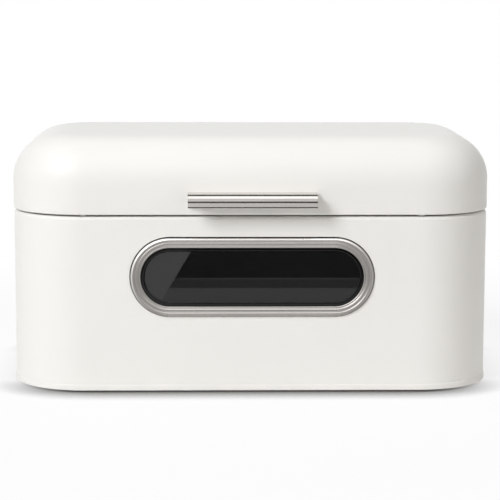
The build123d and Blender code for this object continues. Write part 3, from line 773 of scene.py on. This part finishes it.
def drawn_bar_tree():
    """Draws a section, given as out from the front and down, along X."""
    graph, at = node_tree("drawn_bar", {"Start": "Vector", "End": "Vector", "Material": "Material"})
    line = graph.node("GeometryNodeCurvePrimitiveLine", inputs={"Start": at["Start"], "End": at["End"]})
    return close_tree(graph, swept(graph, line, at["Geometry"], capped=True), at["Material"])


def set_out_tree():
    """Sets a copy of one small piece on each point of the base."""
    graph, at = node_tree("set_out", {"Piece": "Object", "Material": "Material"})
    piece = graph.node("GeometryNodeObjectInfo", {"transform_space": "ORIGINAL"}, {"Object": at["Piece"]},
                       output="Geometry")
    copies = graph.node("GeometryNodeInstanceOnPoints", inputs={"Points": at["Geometry"], "Instance": piece})
    return close_tree(graph, copies, at["Material"])


WINDOW_TRIM = window_trim_tree()
PIERCED_WALL = pierced_wall_tree()
DRAWN_BAR = drawn_bar_tree()
SET_OUT = set_out_tree()


def section_curve(points):
    """A closed curve through the points of a section."""
    curve = bpy.data.curves.new("section", "CURVE")
    curve.dimensions = "3D"
    spline = curve.splines.new("POLY")
    spline.points.add(len(points) - 1)
    for point, (x, y) in zip(spline.points, points):
        point.co = (x, y, 0, 1)
    spline.use_cyclic_u = True
    return added("section", curve)


def arc_through(first, middle, last, steps):
    """Points of the circle through three points of a section."""
    (ax, ay), (bx, by), (cx, cy) = first, middle, last
    d = 2 * (ax * (by - cy) + bx * (cy - ay) + cx * (ay - by))
    a2, b2, c2 = ax * ax + ay * ay, bx * bx + by * by, cx * cx + cy * cy
    centre = ((a2 * (by - cy) + b2 * (cy - ay) + c2 * (ay - by)) / d,
              (a2 * (cx - bx) + b2 * (ax - cx) + c2 * (bx - ax)) / d)
    radius = math.hypot(ax - centre[0], ay - centre[1])
    start, through, end = (math.degrees(math.atan2(y - centre[1], x - centre[0]))
                           for x, y in (first, middle, last))
    sweep = (end - start) % FULL_TURN
    if (through - start) % FULL_TURN > sweep:
        sweep -= FULL_TURN
    return bend(centre, radius, start, start + sweep, steps)


def bezel_section():
    """Section of the bezel, out from the window and off the wall: a flat foot, two ridges and a bead."""
    section, ridges = ([(across * BEZEL_WIDTH, -proud * BEZEL_PROUD) for across, proud in shares]
                       for shares in (BEZEL_FOOT, BEZEL_RIDGES))
    for start in range(0, len(ridges) - 1, 2):
        section += arc_through(*ridges[start:start + 3], RIB_STEPS)[start > 0:]
    return section


def gasket_section():
    """Section of the seal: a flat strip whose seen edge is a round lip."""
    half = GASKET_THICKNESS / 2
    lip = bend((-GASKET_REACH + half, SHEET + half), half, DOWN, UP, ROLL_STEPS)
    flat = [(GASKET_REACH, SHEET + GASKET_THICKNESS), (GASKET_REACH, SHEET)]
    return lip + flat + [(-GASKET_REACH + GASKET_THICKNESS, SHEET)]


def handle_section():
    """Section of the handle, out from the lid and down from its foot line: two ribs over a finger channel."""
    depth = handle_high.y - handle_low.y
    height = handle_high.z - handle_low.z
    upper_top, upper_foot, lower_top, lower_foot = (height * share for share in RIB_SHARES)
    ceiling = height - HANDLE_TOP_PLATE
    back, flute, front = depth - HANDLE_SETBACK, depth - HANDLE_FLUTE, depth - HANDLE_LIP
    turn = HANDLE_INNER_RADIUS
    points = [(0, 0), (0, height), (back, height)]
    for i in range(RIB_STEPS + 1):
        angle = RIGHT_ANGLE * (1 - i / RIB_STEPS)
        out, up = HANDLE_SETBACK * math.cos(angle), (upper_top - upper_foot) * math.sin(angle)
        points.append((back + out, upper_foot + up))
    points += [(flute, upper_foot), (flute, lower_top), (depth, lower_top), (depth - HANDLE_LEAN, lower_foot)]
    points += [(flute, lower_foot), (flute, 0), (front, 0)]
    points += bend((front - turn, ceiling - turn), turn, AHEAD, UP, CHANNEL_STEPS)
    points += bend((HANDLE_BACK + turn, ceiling - turn), turn, UP, BACK, CHANNEL_STEPS)
    points += [(HANDLE_BACK, 0)]
    return [(out, -up) for out, up in points]


def full_turn(steps):
    return [2 * math.pi * i / steps for i in range(steps)]


def turned(name, section, steps=TURNED_STEPS):
    """A piece turned about the Y axis, from (radius, place along Y) pairs; zero radii close its ends."""
    bm = bmesh.new()
    rings = []
    for radius, y in section:
        angles = full_turn(steps) if radius else [0]
        rings.append([bm.verts.new((radius * math.cos(a), y, radius * math.sin(a))) for a in angles])
    for low, high in zip(rings, rings[1:]):
        bridge(bm, low, high)
    return closed_mesh(name, bm)


def dome(radius, start, height):
    """The rounded end of a head: from its rim at start to its tip, as (radius, place) pairs."""
    angles = [RIGHT_ANGLE * i / DOME_STEPS for i in range(DOME_STEPS)]
    return [(radius * math.cos(a), start + height * math.sin(a)) for a in angles] + [(0, start + height)]


def rivet():
    """A rivet that points out of the rear wall: a flat tail inside and a domed head outside."""
    low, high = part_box("hinge_body_rivets")
    shoulder = high.y - low.y - RIVET_HEAD_HEIGHT
    tail, tail_end, soft = RIVET_TAIL_RADIUS, RIVET_TAIL_HEIGHT, RIVET_TAIL_SOFT
    section = [(0, 0), (tail - soft, 0), (tail, soft), (tail, tail_end), (RIVET_RADIUS, tail_end)]
    section += [(RIVET_RADIUS, shoulder), (RIVET_HEAD_RADIUS, shoulder)]
    section += dome(RIVET_HEAD_RADIUS, shoulder + RIVET_HEAD_RIM, RIVET_HEAD_HEIGHT - RIVET_HEAD_RIM)
    return turned("rivet", section)


def handle_screw():
    """A domed screw with a cross recess, driven from inside the lid."""
    low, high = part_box("handle_screws")
    length = high.y - low.y
    shoulder = length - SCREW_HEAD_HEIGHT
    section = [(0, 0), (SCREW_RADIUS - SCREW_TIP, 0), (SCREW_RADIUS, SCREW_TIP), (SCREW_RADIUS, shoulder)]
    section += [(SCREW_HEAD_RADIUS, shoulder)]
    section += dome(SCREW_HEAD_RADIUS, shoulder + SCREW_HEAD_RIM, SCREW_HEAD_HEIGHT - SCREW_HEAD_RIM)
    screw = turned("screw", section)
    cross = bmesh.new()
    for wide, tall in ((CROSS_LENGTH, CROSS_WIDTH), (CROSS_WIDTH, CROSS_LENGTH)):
        place = Matrix.Translation((0, length, 0)) @ Matrix.Diagonal((wide, CROSS_CUTTER, tall, 1))
        bmesh.ops.create_cube(cross, size=1, matrix=place)
    cutter = closed_mesh("cross", cross)
    cut = screw.modifiers.new("cross", "BOOLEAN")
    cut.object = cutter
    cut.solver = "EXACT"
    cut.use_self = True
    mesh = plain_mesh(screw)
    bpy.data.objects.remove(cutter)
    return shaded(added("screw", mesh))


def hexagon_nut():
    """A small nut with chamfered corners on both faces and a bore."""
    low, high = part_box("window_nuts")
    height = high.y - low.y
    half_flats, half_side = NUT_FLATS / 2, math.pi / 6
    corner = half_flats / math.cos(half_side)
    bm = bmesh.new()
    levels = ((STUD_RADIUS, 0), (half_flats, 0), (corner, NUT_CHAMFER), (corner, height - NUT_CHAMFER),
              (half_flats, height), (STUD_RADIUS, height))
    rings = []
    for reach, y in levels:
        ring = []
        for a in full_turn(NUT_STEPS):
            flat = half_flats / math.cos((a + half_side) % (2 * half_side) - half_side)
            radius = min(reach, flat) if reach > STUD_RADIUS else reach
            ring.append(bm.verts.new((radius * math.cos(a), y, radius * math.sin(a))))
        rings.append(ring)
    for low_ring, high_ring in zip(rings, rings[1:] + rings[:1]):
        bridge(bm, low_ring, high_ring)
    return closed_mesh("nut", bm)


def washer():
    inner, outer, thick, soft = SCREW_RADIUS, WASHER_RADIUS, WASHER_THICKNESS, WASHER_SOFT
    section = [(inner, 0), (outer - soft, 0), (outer, soft), (outer, thick - soft), (outer - soft, thick)]
    return turned("washer", section + [(inner, thick), (inner, 0)])


def stud():
    """A stud of the bezel that ends just past its nut."""
    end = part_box("window_nuts")[1].y + STUD_PAST_NUT - BODY_FRONT
    radius, tip = STUD_RADIUS, STUD_TIP
    section = [(0, 0), (radius, 0), (radius, end - tip), (radius - tip, end), (0, end)]
    return turned("stud", section, STUD_STEPS)


def upright(piece):
    """Turns a piece made along +Y to stand along +Z."""
    piece.data.transform(Matrix.Rotation(RIGHT_ANGLE, 4, "X"))
    return piece


def lid_button():
    """A rubber button: a soft-edged head on the rim, a stem through it and a bulb below."""
    low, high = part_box("lid_buffer_front_left")
    rim = BODY_TOP - low.z
    under = rim - SHEET
    top = high.z - low.z
    head, bulb, stem, soft = BUTTON_RADIUS, BUTTON_BULB_RADIUS, BUTTON_STEM_RADIUS, BUTTON_SOFT
    middle = soft * SOFT_MIDDLE
    section = [(0, 0), (bulb - soft, 0), (bulb, soft), (bulb - soft, under), (stem, under), (stem, rim)]
    section += [(head, rim), (head, top - soft), (head - middle, top - middle), (head - soft, top), (0, top)]
    return upright(turned("button", section))


def foot_pad():
    """A tapered rubber pad with a soft lower edge and a shallow dish in its sole."""
    low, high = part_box("foot_front_left")
    height = high.z - low.z
    sole = FOOT_RADIUS - FOOT_TAPER
    soft, middle = FOOT_SOFT, FOOT_SOFT * SOFT_MIDDLE
    dish, dish_edge = (sole * share for share in FOOT_DISH_SHARES)
    section = [(0, FOOT_DISH), (dish, FOOT_DISH), (dish_edge, 0), (sole - soft, 0), (sole - middle, middle)]
    section += [(sole + FOOT_TAPER * soft / height, soft), (FOOT_RADIUS, height), (0, height)]
    return upright(turned("pad", section, FOOT_STEPS))


def dressed(piece, body, slot, *cad_nodes):
    """Puts a finished piece on its body, in place of its CAD nodes."""
    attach(piece, body)
    if cad_nodes:
        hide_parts(*cad_nodes)
    return piece


def set_out(name, piece, places, material):
    """Copies of a small piece at each place, as one mesh; the pattern piece is used up."""
    mesh = bpy.data.meshes.new(name + "_places")
    mesh.from_pydata([tuple(p) for p in places], [], [])
    made = grown(name, added(name + "_places", mesh), SET_OUT, Piece=piece, Material=material)
    bpy.data.objects.remove(piece)
    return made


def painted(piece, material):
    piece.data.materials.clear()
    piece.data.materials.append(material)
    return piece


def standing_places(found):
    """The middle of each CAD node's foot."""
    boxes = [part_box(node) for node in found]
    return [((low.x + high.x) / 2, (low.y + high.y) / 2, low.z) for low, high in boxes]


# Powder-coated shells
lid = painted(ring_shell("lid_shell_coated", LID_OVERHANG, lid_section(), looped=False), WHITE)
dressed(lid, "lid", "white_powder_coat", "lid_shell")
pan = painted(ring_shell("base_pan_coated", 0, pan_section(), looped=False), WHITE)
dressed(pan, "body", "white_powder_coat", "base_pan")
blank_wall = ring_shell("wall_blank", 0, wall_section(), looped=True)
wall = grown("body_wall_coated", blank_wall, PIERCED_WALL, **{
    "Window Length": WINDOW_LENGTH + 2 * WALL_OPENING_MARGIN,
    "Window Height": WINDOW_HEIGHT + 2 * WALL_OPENING_MARGIN,
    "Window Steps": WINDOW_STEPS, "Window Centre": WINDOW_CENTRE, "Vent Radius": VENT_RADIUS,
    "Vent Pitch": VENT_PITCH, "Vent Columns": VENT_COLUMNS, "Vent Rows": VENT_ROWS,
    "Vent Centre": (0, body_high.y, BODY_TOP - VENT_DROP), "Cut Depth": CUT_DEPTH, "Material": WHITE})
dressed(wall, "body", "white_powder_coat", "body_wall")

# Window trim
window_sizes = {"Length": WINDOW_LENGTH, "Height": WINDOW_HEIGHT, "Steps": WINDOW_STEPS,
                "Centre": WINDOW_CENTRE}
bezel = grown("window_bezel_brushed", section_curve(bezel_section()), WINDOW_TRIM, Material=BEZEL_STEEL,
              **window_sizes)
dressed(bezel, "body", "brushed_stainless", "window_bezel")
gasket = grown("window_seal", section_curve(gasket_section()), WINDOW_TRIM, Material=SEAL, **window_sizes)
dressed(gasket, "body", "black_seal", "window_gasket")
painted(nodes["window_pane"], PANE)
painted(nodes["window_retainer"], ZINC)

# Handle
lid_face, foot_z = handle_high.y, handle_low.z
handle = grown("handle_brushed", section_curve(handle_section()), DRAWN_BAR, Material=HANDLE_STEEL,
               Start=(handle_low.x, lid_face, foot_z), End=(handle_high.x, lid_face, foot_z))
softened = handle.modifiers.new("softened_edges", "BEVEL")
softened.limit_method = "ANGLE"
softened.angle_limit = SOFTENING_ANGLE
softened.width = HANDLE_SOFTENING
softened.segments = SOFTENING_SEGMENTS
softened.harden_normals = True
dressed(handle, "lid", "brushed_stainless", "handle_bar")

# Fasteners
screw_low, screw_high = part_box("handle_screws")
screw_x = screw_high.x - SCREW_HEAD_RADIUS
screw_z = (screw_low.z + screw_high.z) / 2
screw_places = [(side * screw_x, screw_low.y, screw_z) for side in (-1, 1)]
screws = set_out("handle_screws_cross", handle_screw(), screw_places, ZINC)
dressed(screws, "lid", "zinc_steel", "handle_screws")
washer_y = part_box("handle_washers")[0].y
washer_places = [(x, washer_y, z) for x, y, z in screw_places]
washers = set_out("handle_washers_plated", washer(), washer_places, ZINC)
dressed(washers, "lid", "zinc_steel", "handle_washers")
for body in ("body", "lid"):
    node = "hinge_" + body + "_rivets"
    low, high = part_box(node)
    line = high.x - RIVET_HEAD_RADIUS - RIVET_HALF_SPACING
    places = [(side * line + step * RIVET_HALF_SPACING, low.y, (low.z + high.z) / 2)
              for side in (-1, 1) for step in (-1, 1)]
    dressed(set_out("hinge_rivets_" + body, rivet(), places, ZINC), body, "zinc_steel", node)
nut_low, nut_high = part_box("window_nuts")
nut_row = (nut_high.z - nut_low.z - NUT_FLATS) / 2
nut_reach = nut_high.x - NUT_FLATS / 2
nut_step = HALF_STRAIGHT * STUD_SPREAD
stud_marks = [(share * nut_step, side * nut_row) for share in (-1, 0, 1) for side in (-1, 1)]
stud_marks += [(-nut_reach, 0), (nut_reach, 0)]
nut_places = [(x, nut_low.y, WINDOW_Z + z) for x, z in stud_marks]
nuts = set_out("window_nuts_plated", hexagon_nut(), nut_places, ZINC)
dressed(nuts, "body", "zinc_steel", "window_nuts")
stud_places = [(x, BODY_FRONT, WINDOW_Z + z) for x, z in stud_marks]
studs = set_out("window_studs", stud(), stud_places, ZINC)
dressed(studs, "body", "zinc_steel")

# Rubber buttons and feet
button_nodes = [n for n in nodes if n.startswith("lid_buffer_")]
buttons = set_out("lid_buttons", lid_button(), standing_places(button_nodes), BUTTON)
dressed(buttons, "body", "buffer_rubber", *button_nodes)
foot_nodes = [n for n in nodes if n.startswith("foot_")]
feet = set_out("foot_pads", foot_pad(), standing_places(foot_nodes), PAD)
dressed(feet, "body", "foot_rubber", *foot_nodes)

# Hinges
for node in nodes:
    if node.endswith("_leaf") or node.endswith("_pin"):
        painted(nodes[node], ZINC)


def flat_sheet(name, corners, material):
    """A flat piece of the stage."""
    mesh = bpy.data.meshes.new(name)
    mesh.from_pydata(corners, [], [tuple(range(len(corners)))])
    mesh.materials.append(material)
    sheet = added(name, mesh)
    return sheet


def bare_graph(owner):
    """The emptied node tree of a material or world."""
    owner.use_nodes = True
    owner.node_tree.nodes.clear()
    return Graph(owner.node_tree)


def seen_share(graph):
    """1 where a ray shows the backdrop itself, 0 where it only carries light."""
    rays = graph.node("ShaderNodeLightPath").socket.node
    return sum(Wire(graph, rays.outputs[ray]) for ray in SEEN_RAYS)


def glow(graph, strength):
    return graph.node("ShaderNodeEmission", inputs={"Color": (*PLAIN_WHITE, 1), "Strength": strength})


def floor_finish():
    """White floor that takes the box's shadow, gets painted contact shade near it from ambient occlusion, and
    turns into plain white further off.
    """
    material = bpy.data.materials.new("studio_floor")
    graph = bare_graph(material)
    place = graph.place()
    distance = graph.node("ShaderNodeVectorMath", {"operation": "LENGTH"}, {0: place}, output="Value")
    far = graph.node("ShaderNodeMapRange", {"interpolation_type": "SMOOTHSTEP"},
                     {"Value": distance, "From Min": FADE_START, "From Max": FADE_END})
    paper = graph.node("ShaderNodeBsdfDiffuse", inputs={"Color": PAPER_TONE})
    openness = graph.node("ShaderNodeAmbientOcclusion", {"samples": CONTACT_SAMPLES},
                          {"Distance": CONTACT_REACH}, output="AO")
    depth = graph.node("ShaderNodeSeparateXYZ", inputs={"Vector": place}, output="Y")
    half_depth = MID_Y - BODY_FRONT
    contact_shade = graph.node("ShaderNodeMapRange", inputs={
        "Value": abs(depth - MID_Y), "From Min": half_depth - CONTACT_EASE, "From Max": half_depth,
        "To Min": CONTACT_AT_ENDS, "To Max": 1.0})
    # Painted contact shade: where ambient occlusion finds the box close by, the floor's colour and glow
    # darken
    light = 1 - contact_shade * (1 - graph.maths("MAXIMUM", 2 * openness - 1, 0))
    shadowed = graph.node("ShaderNodeBsdfDiffuse", inputs={"Color": graph.blend(light, *SHADOW_TONES)})
    near = graph.node("ShaderNodeAddShader", inputs={0: shadowed, 1: glow(graph, FLOOR_LIFT * light)})
    shown = graph.node("ShaderNodeMixShader", inputs={0: far, 1: near, 2: glow(graph, 1.0)})
    surface = graph.node("ShaderNodeMixShader", inputs={0: seen_share(graph), 1: paper, 2: shown})
    graph.node("ShaderNodeOutputMaterial", inputs={"Surface": surface})
    return material


def reflection_card(name, corners, level):
    """A sheet of even brightness that only reflections see."""
    material = bpy.data.materials.new(name)
    graph = bare_graph(material)
    graph.node("ShaderNodeOutputMaterial", inputs={"Surface": glow(graph, level)})
    card = flat_sheet(name, corners, material)
    card.visible_camera = card.visible_diffuse = card.visible_shadow = False
    card.visible_transmission = card.visible_volume_scatter = False


def wide_card(name, start, end, level):
    """A card across the whole room between two places, each given as (y, z)."""
    ends = [(-CARD_REACH, *start), (CARD_REACH, *start), (CARD_REACH, *end), (-CARD_REACH, *end)]
    reflection_card(name, ends, level)


def left_card_corners():
    """The left card: a slanted right side, and on the left the pane's rounded end as the pane reflects it."""
    share = LEFT_CARD_AHEAD / CAMERA_AHEAD
    sight = WINDOW_HEIGHT / 2 - GASKET_REACH - GLARE_MARGIN
    y = BODY_FRONT - LEFT_CARD_AHEAD
    seen = [(x, WINDOW_Z + z) for x, z in bend((-HALF_STRAIGHT, 0), sight, UP, GLARE_END, CORNER_STEPS)]
    curve = [(x + (x - CAMERA_X) * share, y, z + (z - CAMERA_Z) * share) for x, z in seen]
    slant = [(LEFT_CARD_FOOT + LEFT_CARD_SLANT * z, y, z) for z in (curve[-1][2], curve[0][2])]
    return curve + slant


def soft_lamp(name, place, width, height, power, tint=PLAIN_WHITE, mirrored=True):
    """A soft lamp aimed at the box's middle."""
    lamp = bpy.data.lights.new(name, "AREA")
    lamp.shape = "RECTANGLE"
    lamp.size, lamp.size_y = width, height
    lamp.energy = power
    lamp.color = tint
    holder = added(name, lamp)
    aim = Vector((0, MID_Y, (RIM_BOTTOM + LID_TOP) / 2)) - Vector(place)
    holder.location = place
    holder.rotation_euler = aim.to_track_quat("-Z", "Y").to_euler()
    holder.visible_camera = False
    holder.visible_glossy = mirrored


# Pale floor
floor_corners = [(x * FLOOR_REACH, y * FLOOR_REACH, 0) for x, y in ((-1, -1), (1, -1), (1, 1), (-1, 1))]
flat_sheet("studio_floor", floor_corners, floor_finish())

# Cards that only reflections see
wide_card("table_edge_band", (TABLE_EDGE, 0), (TABLE_EDGE, EDGE_BAND), EDGE_BAND_LEVEL)
wide_card("table_edge_line", (TABLE_EDGE, EDGE_BAND), (TABLE_EDGE, EDGE_LINE), EDGE_LINE_LEVEL)
wide_card("dark_room", (TABLE_EDGE, EDGE_LINE), (TABLE_EDGE, DARK_ROOM_TOP), DARK_ROOM_LEVEL)
reflection_card("left_card", left_card_corners(), LEFT_CARD_LEVEL)
wide_card("front_wall", (TABLE_EDGE, DARK_ROOM_TOP), (TABLE_EDGE, FRONT_WALL_TOP), FRONT_WALL_LEVEL)
wide_card("ceiling_card", (TABLE_EDGE, FRONT_WALL_TOP), CEILING_END, CEILING_LEVEL)
wide_card("overhead_card", CEILING_END, OVERHEAD_END, CEILING_LEVEL)
for x, name in ((-SIDE_WALL_X, "left_wall"), (SIDE_WALL_X, "right_wall")):
    foot = [(x, TABLE_EDGE, 0), (x, SIDE_WALL_REAR, 0)]
    top = [(x, SIDE_WALL_REAR, SIDE_WALL_TOP), (x, TABLE_EDGE, SIDE_WALL_TOP)]
    reflection_card(name, foot + top, SIDE_WALL_LEVEL)

# Lamps
for name, settings in LAMPS.items():
    soft_lamp(name, **settings)

# World: a little warm light, and a white backdrop where it is seen
world = bpy.data.worlds.new("studio")
bpy.context.scene.world = world
sky = bare_graph(world)
room = sky.node("ShaderNodeBackground", inputs={"Color": (*WARM, 1), "Strength": ROOM_STRENGTH})
backdrop = sky.node("ShaderNodeBackground", inputs={"Color": (*PLAIN_WHITE, 1), "Strength": 1.0})
surface = sky.node("ShaderNodeMixShader", inputs={0: seen_share(sky), 1: room, 2: backdrop})
sky.node("ShaderNodeOutputWorld", inputs={"Surface": surface})

# Camera
lens = bpy.data.cameras.new("camera")
lens.lens = CAMERA_LENS
lens.sensor_width = CAMERA_SENSOR
camera = added("camera", lens)
camera.location = (CAMERA_X, BODY_FRONT - CAMERA_AHEAD, CAMERA_Z)
camera.rotation_euler = (RIGHT_ANGLE - CAMERA_DIP, CAMERA_ROLL, CAMERA_TURN)
bpy.context.scene.camera = camera
bpy.context.scene.view_settings.view_transform = "Standard"
